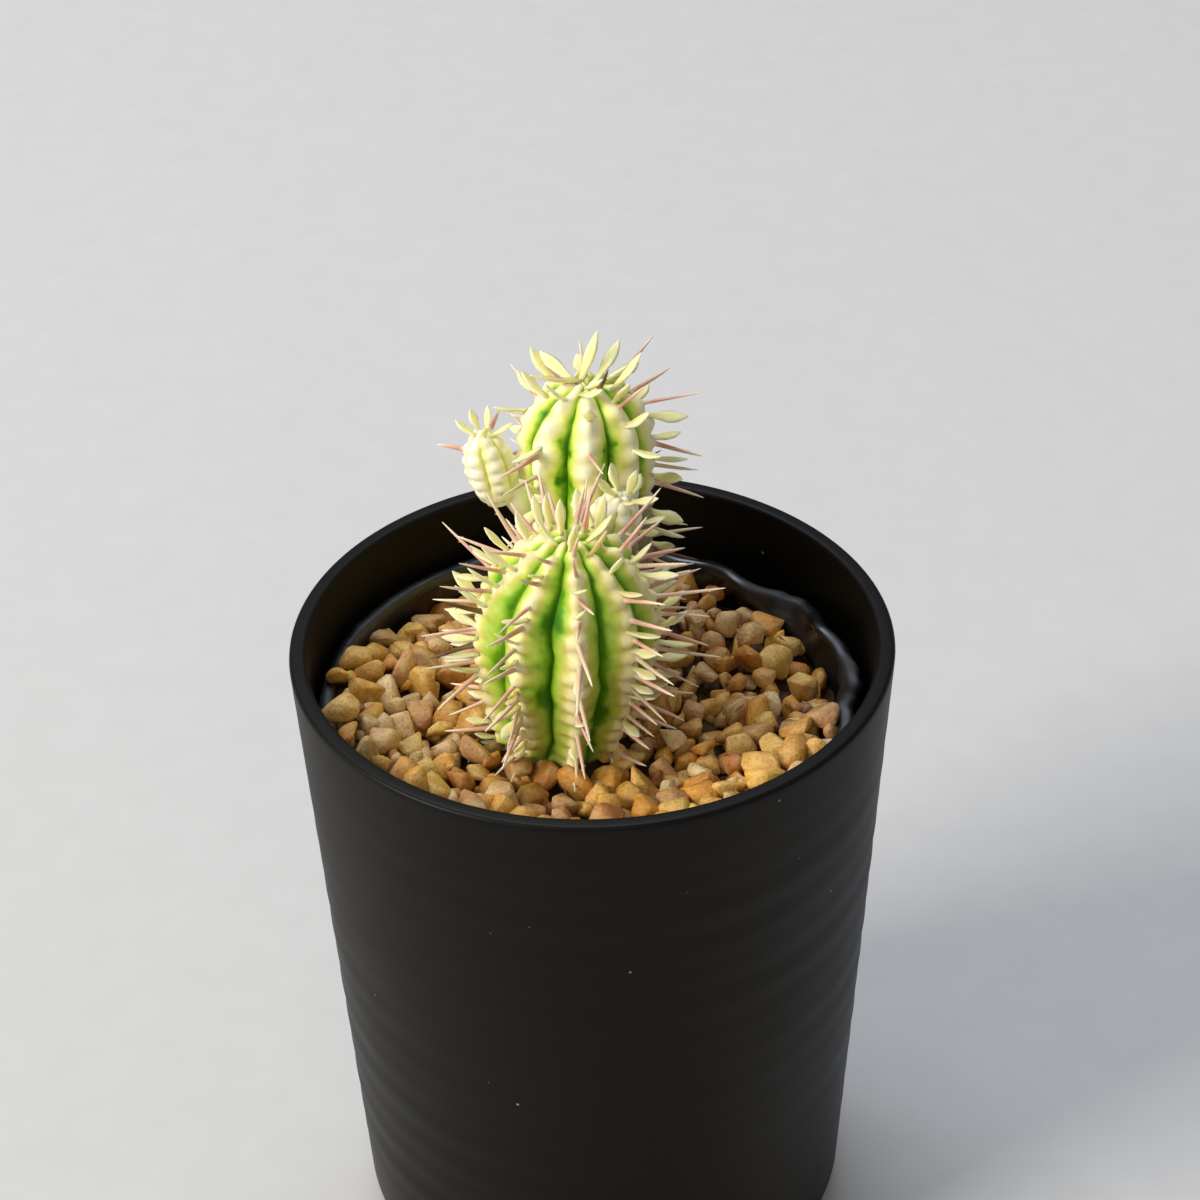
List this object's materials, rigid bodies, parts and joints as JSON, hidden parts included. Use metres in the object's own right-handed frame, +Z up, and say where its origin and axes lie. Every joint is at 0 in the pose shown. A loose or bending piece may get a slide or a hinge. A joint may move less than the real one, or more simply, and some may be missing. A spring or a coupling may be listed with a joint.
{
  "type": "potted succulent plant",
  "caption": "Spiny ribbed succulent: a barrel-shaped stem in front of a taller stem with two side heads, set in gravel in a nursery pot inside a tapered outer pot.",
  "frame": {"origin": "centre of the outer pot's foot, on the plane it stands on", "axes": "+Z up along the pot's axis, -Y towards the viewer, +X to the right in the picture"},
  "size_m": [0.09, 0.09, 0.1479],
  "materials": {
    "pot_plastic": "matt black moulded plastic",
    "nursery_plastic": "thin glossy black plastic",
    "potting_mix": "coarse dark potting mix",
    "grit": "angular ochre and tan grit",
    "plant_tissue": "waxy green and cream variegated skin"
  },
  "bodies": {
    "root": {"pot": "pot_plastic", "nursery_pot": "nursery_plastic", "potting_mix": "potting_mix", "gravel": "grit", "stem_front": "plant_tissue", "stem_rear": "plant_tissue"}
  },
  "joints": []
}
